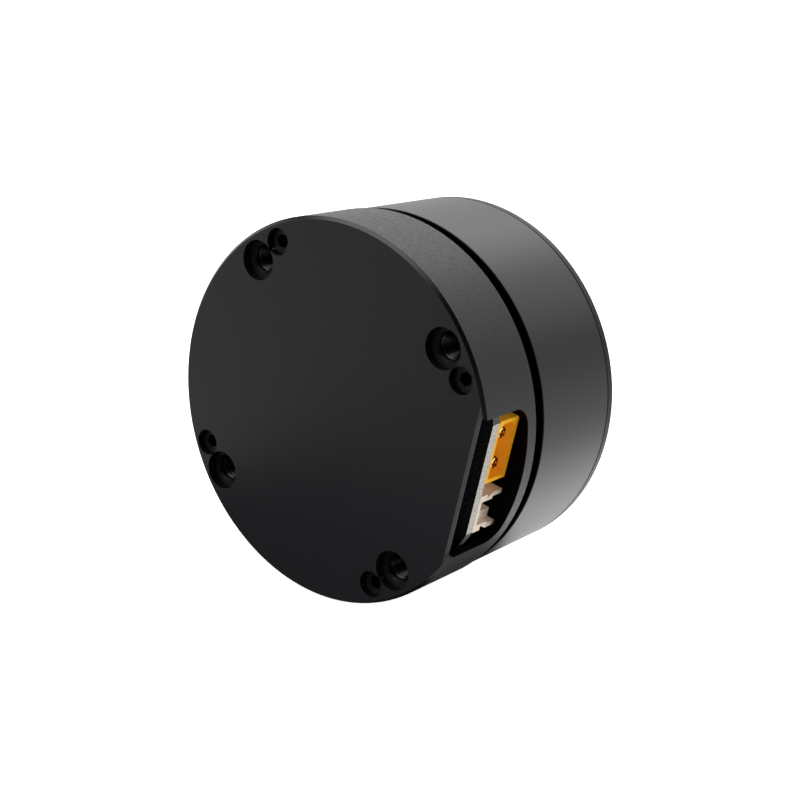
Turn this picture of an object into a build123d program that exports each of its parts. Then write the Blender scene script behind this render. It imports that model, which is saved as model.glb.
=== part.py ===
from build123d import *
import os
from math import radians, sin

# Direct drive servo motor: an outer-rotor motor with its driver board in the rear housing.
# The origin is the centre of the rear face, +Y runs along the shaft towards the output,
# +X points out of the connector window and +Z is up. Sizes are in millimetres.

# Rear housing
housing_od = 60.4
housing_wall = 1.25
rear_plate = 2.6
housing_chamfer = 0.5
edge_break = 0.2
same_size = 1e-6

# Threaded mounting holes in the rear face, each in a round relief
mount_inset = 4.2
mount_count = 4
mount_angle = 45.0
mount_thread_d = 4.0
mount_thread_depth = 8.0
mount_mouth_chamfer = 0.35
mount_relief_d = 6.3
mount_relief_depth = 1.6
mount_boss_d = 8.0

# Screws that hold the housing to the stator base, one beside each mounting hole
case_screw_inset = 3.05
case_screw_offset = -11.1
case_screw_d = 2.5
case_screw_length = 10.0
case_screw_head_d = 4.05
case_screw_head_height = 2.5
case_screw_recess = 1.2
case_screw_socket = 2.0
case_screw_socket_depth = 1.2
case_screw_boss_d = 6.0
screw_clearance = 0.1
thread_gap = 0.03

# Connector window, milled through the wall and the edge of the rear plate
window_width = 22.4
window_margin = 0.9
window_corner_r = 2.6
window_flat_depth = 3.1
window_flat_chamfer = 0.4
window_lip = 0.5
window_relief_depth = 8.0

# Driver board
board_thickness = 1.6
board_standoff = 1.6
board_edge_gap = 0.47
board_flat_setback = 0.1
board_boss_gap = 0.35
post_d = 4.8
post_inset = 8.48
post_count = 3
post_angle = 90.0
board_screw_d = 2.0
board_screw_head_d = 3.8
board_screw_head_height = 1.3
board_screw_length = 4.0
board_screw_slot = 0.5
board_screw_cross = 2.2
board_screw_cross_depth = 0.6
board_hole_floor = 1.2

# Power connector: a shell with two bullet pins
power_width = 10.2
power_height = 5.2
power_length = 12.0
power_wall = 0.6
power_corner = 0.4
power_key = 0.85
power_cavity = 9.0
power_centre_z = 4.14
power_pin_d = 2.0
power_pin_pitch = 5.0
power_pin_recess = 0.6
power_tip_r = 0.3
power_pin_slit = 0.3
power_pin_slit_depth = 5.0
power_leg_d = 1.6
power_leg_setback = 1.4
leg_gap = 0.1
leg_stick_out = 0.8

# Signal connector: a side-entry header with two square pins
signal_width = 6.1
signal_height = 5.5
signal_length = 5.5
signal_wall = 1.1
signal_floor = 0.6
signal_centre_z = -6.15
signal_lip_wall = 0.7
signal_lip_length = 1.4
signal_lip_height = 2.2
signal_key = 1.1
signal_foot_height = 1.8
signal_notch_height = 1.4
signal_notch_depth = 0.7
signal_pin_size = 0.5
signal_pin_pitch = 1.25
signal_pin_count = 2
signal_pin_height = 2.8
signal_pin_recess = 1.5
signal_tail_setback = 0.8

# Parts soldered to the board
encoder_chip_size = 5.0
encoder_chip_height = 1.0
controller_size = 7.0
controller_height = 1.4
controller_z = -13.0
gate_driver_size = 5.0
gate_driver_height = 0.9
gate_driver_x = -8.0
gate_driver_z = -11.0
mosfet_width = 5.0
mosfet_length = 5.8
mosfet_height = 1.0
mosfet_inset = 15.0
mosfet_z = 4.6
mosfet_pitch_x = 7.0
mosfet_pitch_z = 6.6
capacitor_width = 4.3
capacitor_length = 7.3
capacitor_height = 2.9
capacitor_setback = 3.8
capacitor_z = 8.1
capacitor_pitch = 8.2
transceiver_length = 4.9
transceiver_width = 3.9
transceiver_height = 1.5
transceiver_setback = 5.7
transceiver_z = -3.2
transceiver_pitch = 6.2

# Stator base: a flange in the mouth of the housing with the bearing tube on it
flange_inset = 1.4
base_clearance = 0.2
flange_thickness = 2.6
flange_fit = 0.05
hub_wall = 3.0
hub_rise = 0.4
tube_wall = 2.5
tube_shoulder = 1.5
tube_rise = 1.0
core_seat_step = 1.9
core_standoff = 1.9
bond_gap = 0.05

# Stator core and windings
slot_count = 24
core_length = 15.0
core_back_share = 0.32
air_gap = 0.5
tooth_width = 2.4
shoe_taper = 0.7
shoe_height = 0.6
slot_opening = 1.3
insulator_thickness = 0.6
insulator_overhang = 0.2
coil_gap = 0.05
coil_side = 0.75
coil_rise = 0.75
coil_inner_gap = 0.8
coil_outer_gap = 0.25
coil_corner_r = 0.7
phase_lead_d = 1.2
phase_lead_inset = 1.05
phase_lead_count = 3
phase_lead_hole_d = 2.2

# Ball bearings
bearing_bore = 8.0
bearing_od = 19.0
bearing_width = 6.0
bearing_inset = 0.6
ball_count = 7
race_gap = 0.07
ball_share = 0.64
ring_gap_share = 0.42
cage_share = 0.15
cage_shield_gap = 0.3
cage_pocket_gap = 0.07
shield_thickness = 0.25
shield_inset = 0.15
shield_gap = 0.15

# Rotor
running_gap = 2.2
rotor_step = 0.2
yoke_wall = 2.0
magnet_count = 28
magnet_thickness = 1.65
magnet_overhang = 0.4
magnet_spacing = 0.6
cover_rim = 1.55
cover_spigot = 1.05
cover_coil_gap = 0.4
cover_chamfer = 0.2
cover_fit = 0.05
output_pcd = 25.0
output_count = 4
output_angle = 45.0
output_thread_d = 3.0
output_thread_depth = 2.0
output_mouth_chamfer = 0.2
shaft_chamfer = 0.3
shaft_stub = 2.2
shaft_collar_d = 10.8
encoder_magnet_d = 6.0
encoder_magnet_length = 2.5
encoder_magnet_proud = 0.4
clip_width = 0.8
clip_depth = 0.25
clip_outer_d = 11.0
clip_opening = 4.4
washer_thickness = 0.3
washer_outer_d = 11.0
small_fit = 0.03

# Housing, window and board: what follows from the sizes above
housing_r = housing_od / 2
housing_bore_r = housing_r - housing_wall
mount_r = housing_r - mount_inset
case_screw_r = housing_r - case_screw_inset
case_screw_angle = mount_angle + case_screw_offset
case_screw_seat = case_screw_recess + case_screw_head_height
case_relief_d = case_screw_head_d + 2 * screw_clearance
window_half = window_width / 2
window_flat_x = housing_r - window_flat_depth
board_rear = rear_plate + board_standoff
board_front = board_rear + board_thickness
board_r = housing_bore_r - board_edge_gap
board_flat_x = window_flat_x - board_flat_setback
post_r = board_r - post_inset
mount_notch_r = mount_boss_d / 2 + board_boss_gap
case_notch_r = case_screw_boss_d / 2 + board_boss_gap

# Connectors and chips
power_centre_y = board_front + power_height / 2
power_back_x = board_flat_x - power_length
power_leg_x = power_back_x - power_leg_setback
power_tip_x = board_flat_x - power_pin_recess
signal_back_x = board_flat_x - signal_length
signal_pin_y = board_front + signal_pin_height
signal_tail_x = signal_back_x - signal_tail_setback
signal_tip_x = board_flat_x - signal_pin_recess
signal_top_y = board_front + signal_height
signal_foot_y = board_front + signal_foot_height
signal_key_x = board_flat_x - signal_lip_length
signal_pin_z = signal_centre_z + signal_key / 2
mosfet_x = mosfet_inset - board_r
capacitor_x = power_leg_x - capacitor_setback
transceiver_x = signal_tail_x - transceiver_setback

# Bearings and stator base
bearing_section = (bearing_od - bearing_bore) / 2
ball_circle_r = (bearing_bore + bearing_od) / 4
ball_d = bearing_section * ball_share
ring_gap = bearing_section * ring_gap_share
cage_thickness = bearing_section * cage_share
cage_width = bearing_width - 2 * (shield_inset + shield_thickness + cage_shield_gap)
inner_race_r = ball_circle_r - ring_gap / 2
outer_race_r = ball_circle_r + ring_gap / 2
shield_inner_r = inner_race_r + shield_gap
flange_start = board_front + max(power_height, signal_height) + base_clearance
flange_end = flange_start + flange_thickness
housing_length = flange_start + flange_inset
window_length = flange_start - window_margin
flange_r = housing_bore_r - flange_fit
hub_start = flange_start - hub_rise
hub_r = bearing_od / 2 + hub_wall
tube_r = bearing_od / 2 + tube_wall
tube_shoulder_r = bearing_od / 2 - tube_shoulder
core_seat_r = tube_r + core_seat_step
bearing_start = hub_start + bearing_inset

# Rotor yoke, then the core inside its magnets
rotor_r = housing_r - rotor_step
yoke_bore_r = rotor_r - yoke_wall
core_start = flange_end + core_standoff
core_end = core_start + core_length
core_middle = core_start + core_length / 2
core_r = yoke_bore_r - bond_gap - magnet_thickness - air_gap
core_back_r = tube_r + (core_r - tube_r) * core_back_share
slot_pitch = 360 / slot_count
shoe_edge_r = core_r - shoe_height
shoe_root_r = shoe_edge_r - shoe_taper
shoe_half = core_r * sin(radians(slot_pitch / 2)) - slot_opening / 2
tube_end = core_end + tube_rise
front_bearing_start = tube_end - bearing_width

# Coils and their leads
coil_opening_width = tooth_width + 2 * (insulator_overhang + coil_gap)
coil_opening_length = core_length + 2 * (insulator_thickness + coil_gap)
coil_width = coil_opening_width + 2 * coil_side
coil_length = coil_opening_length + 2 * coil_rise
coil_inner_r = core_back_r + coil_inner_gap
coil_outer_r = shoe_root_r - coil_outer_gap
coil_rear = core_middle - coil_length / 2
coil_front = core_middle + coil_length / 2
phase_lead_r = coil_outer_r - phase_lead_inset
phase_lead_angle = 180 - slot_pitch
phase_lead_range = 2 * slot_pitch

# Cover and shaft
yoke_start = housing_length + running_gap
cover_inner = coil_front + cover_coil_gap
yoke_end = cover_inner + cover_spigot
front_face = yoke_end + cover_rim
shaft_r = bearing_bore / 2
washer_start = bearing_start - washer_thickness
clip_start = washer_start - clip_width
shaft_rear = clip_start - shaft_stub
magnet_face = shaft_rear - encoder_magnet_proud

os.makedirs("parts", exist_ok=True)


def across(y):
    """The plane across the axis at y, drawn as seen from the rear.
    Its normal points rearward, so what runs towards the output is extruded by a negative amount."""
    return Plane.XZ.offset(-y)


# Rear housing: a cup turned from bar, with solid bosses for the screws along its wall
with BuildPart() as rear_housing:
    with BuildSketch(Plane.XY):
        with BuildLine():
            Polyline(
                (0, 0),
                (housing_r - housing_chamfer, 0),
                (housing_r, housing_chamfer),
                (housing_r, housing_length - edge_break),
                (housing_r - edge_break, housing_length),
                (housing_bore_r, housing_length),
                (housing_bore_r, rear_plate),
                (0, rear_plate),
                close=True,
            )
        make_face()
    revolve(axis=Axis.Y)
    with BuildSketch(across(rear_plate)):
        with PolarLocations(mount_r, mount_count, mount_angle):
            Circle(mount_boss_d / 2)
        with PolarLocations(case_screw_r, mount_count, case_screw_angle):
            Circle(case_screw_boss_d / 2)
        Circle(housing_bore_r + housing_wall / 2, mode=Mode.INTERSECT)
    extrude(amount=rear_plate - flange_start)
    with BuildSketch(across(rear_plate)):
        with PolarLocations(post_r, post_count, post_angle):
            Circle(post_d / 2)
    extrude(amount=-board_standoff)
    # Threaded holes in the posts take the screws of the board
    with BuildSketch(across(board_rear)):
        with PolarLocations(post_r, post_count, post_angle):
            Circle(board_screw_d / 2 + thread_gap)
    extrude(amount=board_rear - board_hole_floor, mode=Mode.SUBTRACT)
    # Mounting holes: relief, mouth chamfer and thread at its nominal diameter
    with BuildSketch(across(0)):
        with PolarLocations(mount_r, mount_count, mount_angle):
            Circle(mount_relief_d / 2)
    extrude(amount=-mount_relief_depth, mode=Mode.SUBTRACT)
    with BuildSketch(across(mount_relief_depth)):
        with PolarLocations(mount_r, mount_count, mount_angle):
            Circle(mount_thread_d / 2)
    extrude(amount=-mount_thread_depth, mode=Mode.SUBTRACT)
    mouths = rear_housing.edges().filter_by(GeomType.CIRCLE).filter_by(
        lambda edge: abs(edge.radius - mount_thread_d / 2) < same_size
        and abs(edge.center().Y - mount_relief_depth) < same_size
    )
    chamfer(mouths, mount_mouth_chamfer)
    # Stepped holes of the case screws
    with BuildSketch(across(0)):
        with PolarLocations(case_screw_r, mount_count, case_screw_angle):
            Circle(case_relief_d / 2)
    extrude(amount=-case_screw_seat, mode=Mode.SUBTRACT)
    with BuildSketch(across(case_screw_seat)):
        with PolarLocations(case_screw_r, mount_count, case_screw_angle):
            Circle(case_screw_d / 2 + screw_clearance)
    extrude(amount=case_screw_seat - flange_start, mode=Mode.SUBTRACT)
    # The window: open through the wall, and cut to a flat at the edge of the plate
    with BuildSketch(Plane.YZ.offset(window_flat_x)):
        with Locations((window_length / 2, 0)):
            Rectangle(window_length, window_width)
        window_corners = vertices().sort_by(Axis.X)[-2:]
        fillet(window_corners, window_corner_r)
        with Locations((-rear_plate, 0)):
            Rectangle(2 * rear_plate, window_width)
    extrude(amount=housing_od, mode=Mode.SUBTRACT)
    with BuildSketch(Plane.YZ.offset(board_flat_x - window_relief_depth)):
        with Locations(((window_lip + window_length) / 2, 0)):
            Rectangle(window_length - window_lip, window_width)
        relief_corners = vertices().sort_by(Axis.X)[-2:]
        fillet(relief_corners, window_corner_r)
    extrude(amount=housing_od, mode=Mode.SUBTRACT)
    with BuildSketch(Plane.XY.offset(-window_half)):
        with BuildLine():
            Polyline(
                (window_flat_x - window_flat_chamfer, 0),
                (window_flat_x + window_flat_chamfer, 0),
                (window_flat_x, window_flat_chamfer),
                close=True,
            )
        make_face()
    extrude(amount=window_width, mode=Mode.SUBTRACT)
rear_housing.part.label = "rear_housing"
export_step(rear_housing.part, "parts/rear_housing.step")

# Screws of the housing: reduced heads with a hexagon socket
with BuildPart() as housing_screws:
    with BuildSketch(across(case_screw_recess)):
        with PolarLocations(case_screw_r, mount_count, case_screw_angle):
            Circle(case_screw_head_d / 2)
    extrude(amount=-case_screw_head_height)
    with BuildSketch(across(case_screw_seat)):
        with PolarLocations(case_screw_r, mount_count, case_screw_angle):
            Circle(case_screw_d / 2)
    extrude(amount=-case_screw_length)
    with BuildSketch(across(case_screw_recess)):
        with PolarLocations(case_screw_r, mount_count, case_screw_angle):
            RegularPolygon(case_screw_socket / 2, 6, major_radius=False)
    extrude(amount=-case_screw_socket_depth, mode=Mode.SUBTRACT)
housing_screws.part.label = "housing_screws"
export_step(housing_screws.part, "parts/housing_screws.step")

# Driver board: round, with notches for the bosses and a flat edge in the window
with BuildPart() as driver_board:
    with BuildSketch(across(board_rear)):
        Circle(board_r)
        with Locations((board_flat_x + board_r, 0)):
            Rectangle(2 * board_r, 2 * board_r, mode=Mode.SUBTRACT)
        with PolarLocations(mount_r, mount_count, mount_angle):
            Circle(mount_notch_r, mode=Mode.SUBTRACT)
            Rectangle(board_r, 2 * mount_notch_r, align=(Align.MIN, Align.CENTER), mode=Mode.SUBTRACT)
        with PolarLocations(case_screw_r, mount_count, case_screw_angle):
            Circle(case_notch_r, mode=Mode.SUBTRACT)
            Rectangle(board_r, 2 * case_notch_r, align=(Align.MIN, Align.CENTER), mode=Mode.SUBTRACT)
        with PolarLocations(post_r, post_count, post_angle):
            Circle(board_screw_d / 2 + screw_clearance, mode=Mode.SUBTRACT)
        with Locations((power_leg_x, power_centre_z)):
            with GridLocations(0, power_pin_pitch, 1, 2):
                Circle(power_leg_d / 2 + leg_gap, mode=Mode.SUBTRACT)
    extrude(amount=-board_thickness)
driver_board.part.label = "driver_board"
export_step(driver_board.part, "parts/driver_board.step")

# Screws of the board, with a cross recess, into the posts of the housing
with BuildPart() as board_screws:
    with BuildSketch(across(board_front)):
        with PolarLocations(post_r, post_count, post_angle):
            Circle(board_screw_head_d / 2)
    extrude(amount=-board_screw_head_height)
    with BuildSketch(across(board_front)):
        with PolarLocations(post_r, post_count, post_angle):
            Circle(board_screw_d / 2)
    extrude(amount=board_screw_length)
    with BuildSketch(across(board_front + board_screw_head_height)):
        with PolarLocations(post_r, post_count, post_angle):
            Rectangle(board_screw_cross, board_screw_slot)
            Rectangle(board_screw_slot, board_screw_cross)
    extrude(amount=board_screw_cross_depth, mode=Mode.SUBTRACT)
board_screws.part.label = "board_screws"
export_step(board_screws.part, "parts/board_screws.step")

# Parts soldered to the front of the board
with BuildPart() as encoder_chip:
    with BuildSketch(across(board_front)):
        Rectangle(encoder_chip_size, encoder_chip_size)
    extrude(amount=-encoder_chip_height)
encoder_chip.part.label = "encoder_chip"
export_step(encoder_chip.part, "parts/encoder_chip.step")

with BuildPart() as controller_chip:
    with BuildSketch(across(board_front)):
        with Locations((0, controller_z)):
            Rectangle(controller_size, controller_size)
    extrude(amount=-controller_height)
controller_chip.part.label = "controller_chip"
export_step(controller_chip.part, "parts/controller_chip.step")

with BuildPart() as gate_driver:
    with BuildSketch(across(board_front)):
        with Locations((gate_driver_x, gate_driver_z)):
            Rectangle(gate_driver_size, gate_driver_size)
    extrude(amount=-gate_driver_height)
gate_driver.part.label = "gate_driver"
export_step(gate_driver.part, "parts/gate_driver.step")

with BuildPart() as power_transistors:
    with BuildSketch(across(board_front)):
        with Locations((mosfet_x, mosfet_z)):
            with GridLocations(mosfet_pitch_x, mosfet_pitch_z, 2, 3):
                Rectangle(mosfet_width, mosfet_length)
    extrude(amount=-mosfet_height)
power_transistors.part.label = "power_transistors"
export_step(power_transistors.part, "parts/power_transistors.step")

with BuildPart() as bulk_capacitors:
    with BuildSketch(across(board_front)):
        with Locations((capacitor_x, capacitor_z)):
            with GridLocations(0, capacitor_pitch, 1, 2):
                Rectangle(capacitor_width, capacitor_length)
    extrude(amount=-capacitor_height)
bulk_capacitors.part.label = "bulk_capacitors"
export_step(bulk_capacitors.part, "parts/bulk_capacitors.step")

with BuildPart() as transceiver_chips:
    with BuildSketch(across(board_front)):
        with Locations((transceiver_x, transceiver_z)):
            with GridLocations(transceiver_pitch, 0, 2, 1):
                Rectangle(transceiver_length, transceiver_width)
    extrude(amount=-transceiver_height)
transceiver_chips.part.label = "transceiver_chips"
export_step(transceiver_chips.part, "parts/transceiver_chips.step")

# Power connector: an open shell whose cavity has two bevelled corners, so that its plug fits one way
with BuildPart() as power_connector:
    with BuildSketch(Plane.YZ.offset(power_back_x)):
        with Locations((power_centre_y, power_centre_z)):
            Rectangle(power_height, power_width)
        chamfer(vertices().sort_by(Axis.Y)[-2:], power_corner)
    extrude(amount=power_length)
    with BuildSketch(Plane.YZ.offset(board_flat_x)):
        with Locations((power_centre_y, power_centre_z)):
            Rectangle(power_height - 2 * power_wall, power_width - 2 * power_wall)
        chamfer(vertices().sort_by(Axis.Y)[-2:], power_key)
    extrude(amount=-power_cavity, mode=Mode.SUBTRACT)
    with BuildSketch(Plane.YZ.offset(power_back_x)):
        with Locations((power_centre_y, power_centre_z)):
            with GridLocations(0, power_pin_pitch, 1, 2):
                Circle(power_pin_d / 2)
    extrude(amount=power_length - power_cavity, mode=Mode.SUBTRACT)
power_connector.part.label = "power_connector"
export_step(power_connector.part, "parts/power_connector.step")

# Power pins: split bullets, bent down behind the shell into the board
with BuildPart() as power_pins:
    with BuildSketch(Plane.YZ.offset(power_leg_x)):
        with Locations((power_centre_y, power_centre_z)):
            with GridLocations(0, power_pin_pitch, 1, 2):
                Circle(power_pin_d / 2)
    extrude(amount=power_tip_x - power_leg_x)
    fillet(power_pins.edges().group_by(Axis.X)[-1], power_tip_r)
    with BuildSketch(Plane.YZ.offset(power_tip_x)):
        with Locations((power_centre_y, power_centre_z)):
            with GridLocations(0, power_pin_pitch, 1, 2):
                Rectangle(power_pin_d, power_pin_slit)
                Rectangle(power_pin_slit, power_pin_d)
    extrude(amount=-power_pin_slit_depth, mode=Mode.SUBTRACT)
    for side in (-1, 1):
        with Locations((power_leg_x, power_centre_y, power_centre_z + side * power_pin_pitch / 2)):
            Sphere(power_pin_d / 2)
    with BuildSketch(across(power_centre_y)):
        with Locations((power_leg_x, power_centre_z)):
            with GridLocations(0, power_pin_pitch, 1, 2):
                Circle(power_leg_d / 2)
    extrude(amount=power_centre_y - board_rear + leg_stick_out)
power_pins.part.label = "power_pins"
export_step(power_pins.part, "parts/power_pins.step")

# Signal connector: a side-entry header, open at its mouth and along its top
with BuildPart() as signal_connector:
    with BuildSketch(Plane.YZ.offset(signal_back_x)):
        with Locations((board_front, signal_centre_z)):
            Rectangle(signal_height, signal_width, align=(Align.MIN, Align.CENTER))
        # A notch in both end walls leaves a foot on the board
        for side in (-1, 1):
            outer_z = signal_centre_z + side * signal_width / 2
            Polygon(
                (signal_foot_y, outer_z),
                (signal_foot_y, outer_z - side * signal_notch_depth),
                (signal_foot_y + signal_notch_height, outer_z),
                align=None,
                mode=Mode.SUBTRACT,
            )
    extrude(amount=signal_length)
    # The mouth: its end walls are thinner along the top
    with BuildSketch(Plane.YZ.offset(signal_key_x)):
        with Locations((board_front + signal_floor, signal_centre_z)):
            Rectangle(signal_height, signal_width - 2 * signal_wall, align=(Align.MIN, Align.CENTER))
        with Locations((signal_top_y - signal_lip_height, signal_centre_z)):
            Rectangle(signal_height, signal_width - 2 * signal_lip_wall, align=(Align.MIN, Align.CENTER))
    extrude(amount=signal_lip_length, mode=Mode.SUBTRACT)
    # Behind the mouth a key on the lower wall narrows the cavity round the pins
    with BuildSketch(Plane.YZ.offset(signal_back_x + signal_wall)):
        with Locations((board_front + signal_floor, signal_pin_z)):
            Rectangle(
                signal_height, signal_width - 2 * signal_wall - signal_key, align=(Align.MIN, Align.CENTER)
            )
    extrude(amount=signal_length - signal_wall, mode=Mode.SUBTRACT)
    with BuildSketch(Plane.YZ.offset(signal_back_x)):
        with Locations((signal_pin_y, signal_pin_z)):
            with GridLocations(0, signal_pin_pitch, 1, signal_pin_count):
                Rectangle(signal_pin_size, signal_pin_size)
    extrude(amount=signal_wall, mode=Mode.SUBTRACT)
signal_connector.part.label = "signal_connector"
export_step(signal_connector.part, "parts/signal_connector.step")

# Signal pins: square wire bent down behind the header onto the board
with BuildPart() as signal_pins:
    for k in range(signal_pin_count):
        pin_z = signal_pin_z + (k - (signal_pin_count - 1) / 2) * signal_pin_pitch
        with BuildSketch(Plane.XY.offset(pin_z - signal_pin_size / 2)):
            with BuildLine():
                Polyline(
                    (signal_tail_x, board_front),
                    (signal_tail_x, signal_pin_y + signal_pin_size / 2),
                    (signal_tip_x, signal_pin_y + signal_pin_size / 2),
                    (signal_tip_x, signal_pin_y - signal_pin_size / 2),
                    (signal_tail_x + signal_pin_size, signal_pin_y - signal_pin_size / 2),
                    (signal_tail_x + signal_pin_size, board_front),
                    close=True,
                )
            make_face()
        extrude(amount=signal_pin_size)
signal_pins.part.label = "signal_pins"
export_step(signal_pins.part, "parts/signal_pins.step")

# Stator base: the flange closes the housing, and its tube carries both bearings and the core
with BuildPart() as stator_base:
    with BuildSketch(Plane.XY):
        with BuildLine():
            Polyline(
                (bearing_od / 2, hub_start),
                (hub_r, hub_start),
                (hub_r, flange_start),
                (flange_r - edge_break, flange_start),
                (flange_r, flange_start + edge_break),
                (flange_r, flange_end - edge_break),
                (flange_r - edge_break, flange_end),
                (core_seat_r, flange_end),
                (core_seat_r, core_start),
                (tube_r, core_start),
                (tube_r, tube_end),
                (bearing_od / 2, tube_end),
                (bearing_od / 2, front_bearing_start),
                (tube_shoulder_r, front_bearing_start),
                (tube_shoulder_r, bearing_start + bearing_width),
                (bearing_od / 2, bearing_start + bearing_width),
                close=True,
            )
        make_face()
    revolve(axis=Axis.Y)
    with BuildSketch(across(flange_start)):
        with PolarLocations(case_screw_r, mount_count, case_screw_angle):
            Circle(case_screw_d / 2 + thread_gap)
    extrude(amount=flange_start - case_screw_seat - case_screw_length, mode=Mode.SUBTRACT)
    with BuildSketch(across(flange_start)):
        with PolarLocations(
            phase_lead_r, phase_lead_count, phase_lead_angle, phase_lead_range, endpoint=True
        ):
            Circle(phase_lead_hole_d / 2)
    extrude(amount=-flange_thickness, mode=Mode.SUBTRACT)
stator_base.part.label = "stator_base"
export_step(stator_base.part, "parts/stator_base.step")

# Stator core: teeth with tapered shoes on a back ring, stamped as laminations and stacked
with BuildPart() as stator_core:
    with BuildSketch(across(core_start)):
        with PolarLocations(0, slot_count):
            Polygon(
                (tube_r, -tooth_width / 2),
                (shoe_root_r, -tooth_width / 2),
                (shoe_edge_r, -shoe_half),
                (core_r + shoe_height, -shoe_half),
                (core_r + shoe_height, shoe_half),
                (shoe_edge_r, shoe_half),
                (shoe_root_r, tooth_width / 2),
                (tube_r, tooth_width / 2),
                align=None,
            )
        Circle(core_r, mode=Mode.INTERSECT)
        Circle(core_back_r)
        Circle(tube_r + bond_gap, mode=Mode.SUBTRACT)
    extrude(amount=-core_length)
stator_core.part.label = "stator_core"
export_step(stator_core.part, "parts/stator_core.step")


def make_insulator(name, start):
    """An end insulator: a spider that covers the end of the core under the coils."""
    with BuildPart() as insulator:
        with BuildSketch(across(start)):
            Circle(core_back_r)
            with PolarLocations(shoe_root_r / 2, slot_count):
                Rectangle(shoe_root_r, tooth_width + 2 * insulator_overhang)
            Circle(core_seat_r + bond_gap, mode=Mode.SUBTRACT)
        extrude(amount=-insulator_thickness)
    insulator.part.label = name
    export_step(insulator.part, f"parts/{name}.step")


make_insulator("rear_insulator", core_start - insulator_thickness)
make_insulator("front_insulator", core_end)

# One coil round a tooth, drawn on +X with the motor axis along its own -Z
with BuildPart() as coil:
    with BuildSketch(Plane.YZ.offset(coil_inner_r)):
        with Locations((0, -core_middle)):
            RectangleRounded(coil_width, coil_length, coil_corner_r)
            Rectangle(coil_opening_width, coil_opening_length, mode=Mode.SUBTRACT)
    extrude(amount=coil_outer_r - coil_inner_r)

with BuildPart(Plane.XZ) as stator_coils:
    with PolarLocations(0, slot_count):
        add(coil.part)
stator_coils.part.label = "stator_coils"
export_step(stator_coils.part, "parts/stator_coils.step")

# Phase leads: from the coils through the flange to the board
with BuildPart() as phase_leads:
    with BuildSketch(across(board_front)):
        with PolarLocations(
            phase_lead_r, phase_lead_count, phase_lead_angle, phase_lead_range, endpoint=True
        ):
            Circle(phase_lead_d / 2)
    extrude(amount=board_front - coil_rear)
phase_leads.part.label = "phase_leads"
export_step(phase_leads.part, "parts/phase_leads.step")


def make_bearing(name, start):
    """A shielded deep-groove ball bearing: two rings, balls, a cage and two shields."""
    middle = start + bearing_width / 2
    groove_r = ball_d / 2 + race_gap
    with BuildPart() as outer_ring:
        with BuildSketch(Plane.XY):
            with Locations((outer_race_r, middle)):
                Rectangle(bearing_od / 2 - outer_race_r, bearing_width, align=(Align.MIN, Align.CENTER))
            with Locations((ball_circle_r, middle)):
                Circle(groove_r, mode=Mode.SUBTRACT)
        revolve(axis=Axis.Y)
    outer_ring.part.label = f"{name}_outer_ring"
    export_step(outer_ring.part, f"parts/{name}_outer_ring.step")
    with BuildPart() as inner_ring:
        with BuildSketch(Plane.XY):
            with Locations((bearing_bore / 2, middle)):
                Rectangle(inner_race_r - bearing_bore / 2, bearing_width, align=(Align.MIN, Align.CENTER))
            with Locations((ball_circle_r, middle)):
                Circle(groove_r, mode=Mode.SUBTRACT)
        revolve(axis=Axis.Y)
    inner_ring.part.label = f"{name}_inner_ring"
    export_step(inner_ring.part, f"parts/{name}_inner_ring.step")
    with BuildPart(across(middle)) as balls:
        with PolarLocations(ball_circle_r, ball_count):
            Sphere(ball_d / 2)
    balls.part.label = f"{name}_balls"
    export_step(balls.part, f"parts/{name}_balls.step")
    with BuildPart(across(middle)) as cage:
        with BuildSketch(Plane.XY):
            with Locations((ball_circle_r, middle)):
                Rectangle(cage_thickness, cage_width)
        revolve(axis=Axis.Y)
        with PolarLocations(ball_circle_r, ball_count):
            Cylinder(ball_d / 2 + cage_pocket_gap, 2 * ball_d, rotation=(0, 90, 0), mode=Mode.SUBTRACT)
    cage.part.label = f"{name}_cage"
    export_step(cage.part, f"parts/{name}_cage.step")
    with BuildPart() as shields:
        with BuildSketch(Plane.XY):
            with Locations((shield_inner_r, start + shield_inset)):
                Rectangle(outer_race_r - shield_inner_r, shield_thickness, align=Align.MIN)
            with Locations((shield_inner_r, start + bearing_width - shield_inset - shield_thickness)):
                Rectangle(outer_race_r - shield_inner_r, shield_thickness, align=Align.MIN)
        revolve(axis=Axis.Y)
    shields.part.label = f"{name}_shields"
    export_step(shields.part, f"parts/{name}_shields.step")


make_bearing("rear_bearing", bearing_start)
make_bearing("front_bearing", front_bearing_start)

# Rotor yoke: the steel ring that carries the magnets and makes the moving side wall
with BuildPart() as rotor_yoke:
    with BuildSketch(Plane.XY):
        with BuildLine():
            Polyline(
                (yoke_bore_r, yoke_start),
                (rotor_r - edge_break, yoke_start),
                (rotor_r, yoke_start + edge_break),
                (rotor_r, yoke_end - edge_break),
                (rotor_r - edge_break, yoke_end),
                (yoke_bore_r, yoke_end),
                close=True,
            )
        make_face()
    revolve(axis=Axis.Y)
rotor_yoke.part.label = "rotor_yoke"
export_step(rotor_yoke.part, "parts/rotor_yoke.step")

with BuildPart() as rotor_magnets:
    with BuildSketch(across(core_start - magnet_overhang)):
        Circle(yoke_bore_r - bond_gap)
        Circle(yoke_bore_r - bond_gap - magnet_thickness, mode=Mode.SUBTRACT)
        with PolarLocations(yoke_bore_r, magnet_count):
            Rectangle(4 * magnet_thickness, magnet_spacing, mode=Mode.SUBTRACT)
    extrude(amount=-core_length - 2 * magnet_overhang)
rotor_magnets.part.label = "rotor_magnets"
export_step(rotor_magnets.part, "parts/rotor_magnets.step")

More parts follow.
